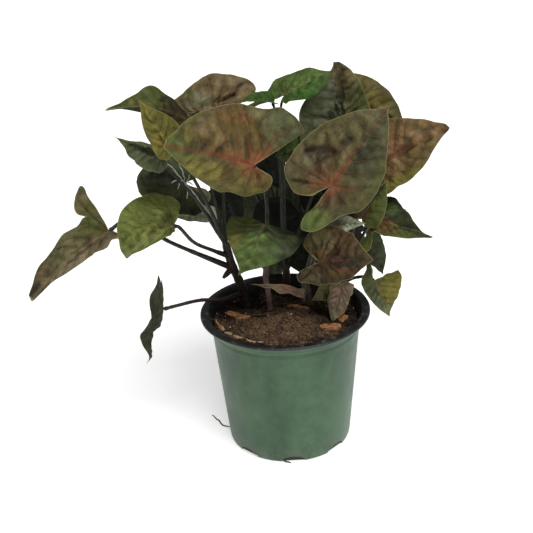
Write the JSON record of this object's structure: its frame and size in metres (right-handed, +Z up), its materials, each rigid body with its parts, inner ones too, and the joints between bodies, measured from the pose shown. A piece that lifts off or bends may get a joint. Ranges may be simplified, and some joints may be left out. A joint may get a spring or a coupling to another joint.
{
  "type": "potted arrowhead plant",
  "caption": "Bushy arrowhead plant with arrow-shaped bronze and green leaves on long stalks, in a round tapered green nursery pot of soil.",
  "frame": {"origin": "middle of the pot's flat underside", "axes": "+Z up, -Y the front from which the plant is seen, +X to the right"},
  "size_m": [0.263, 0.1592, 0.2531],
  "materials": {
    "green_plastic": "satin, thin moulded",
    "potting_mix": "rough, crumbly, damp",
    "bark": "rough, split",
    "stem": "smooth, slightly ribbed",
    "bronze_leaf": "satin, puckered, red veins",
    "olive_leaf": "satin, puckered",
    "sage_leaf": "satin, greyish",
    "green_leaf": "satin",
    "dark_leaf": "satin, dark",
    "young_leaf": "satin, tender",
    "dry_leaf": "matt, papery"
  },
  "bodies": {
    "root": {"bark_chip_centre": "bark", "bark_chip_front": "bark", "bark_chip_left": "bark", "bark_chip_right": "bark", "bark_chip_rim": "bark", "bract_dry": "dry_leaf", "leaf_back_far": "sage_leaf", "leaf_back_left": "bronze_leaf", "leaf_back_low": "olive_leaf", "leaf_back_middle": "green_leaf", "leaf_back_right": "bronze_leaf", "leaf_back_side": "green_leaf", "leaf_back_top": "olive_leaf", "leaf_centre_bronze": "bronze_leaf", "leaf_centre_dark": "dark_leaf", "leaf_centre_green": "green_leaf", "leaf_dry": "dry_leaf", "leaf_dry_green": "sage_leaf", "leaf_far_left": "bronze_leaf", "leaf_front_left": "bronze_leaf", "leaf_front_right": "olive_leaf", "leaf_inner_back": "dark_leaf", "leaf_inner_left": "dark_leaf", "leaf_inner_middle": "dark_leaf", "leaf_inner_right": "dark_leaf", "leaf_left_back": "bronze_leaf", "leaf_left_curled": "dark_leaf", "leaf_left_olive": "olive_leaf", "leaf_left_peak": "olive_leaf", "leaf_left_sage": "sage_leaf", "leaf_left_shade": "sage_leaf", "leaf_left_upright": "olive_leaf", "leaf_low_left": "dark_leaf", "leaf_right_back": "bronze_leaf", "leaf_right_dark": "green_leaf", "leaf_right_folded": "sage_leaf", "leaf_right_inner": "olive_leaf", "leaf_right_low": "olive_leaf", "leaf_top_centre": "sage_leaf", "leaf_top_right": "bronze_leaf", "leaf_wrinkled": "sage_leaf", "leaf_young_inner": "young_leaf", "leaf_young_left": "young_leaf", "leaf_young_top": "young_leaf", "pot": "green_plastic", "shoot_a": "stem", "shoot_b": "stem", "shoot_c": "stem", "shoot_d": "stem", "shoot_e": "stem", "shoot_f": "stem", "soil": "potting_mix"}
  },
  "joints": []
}
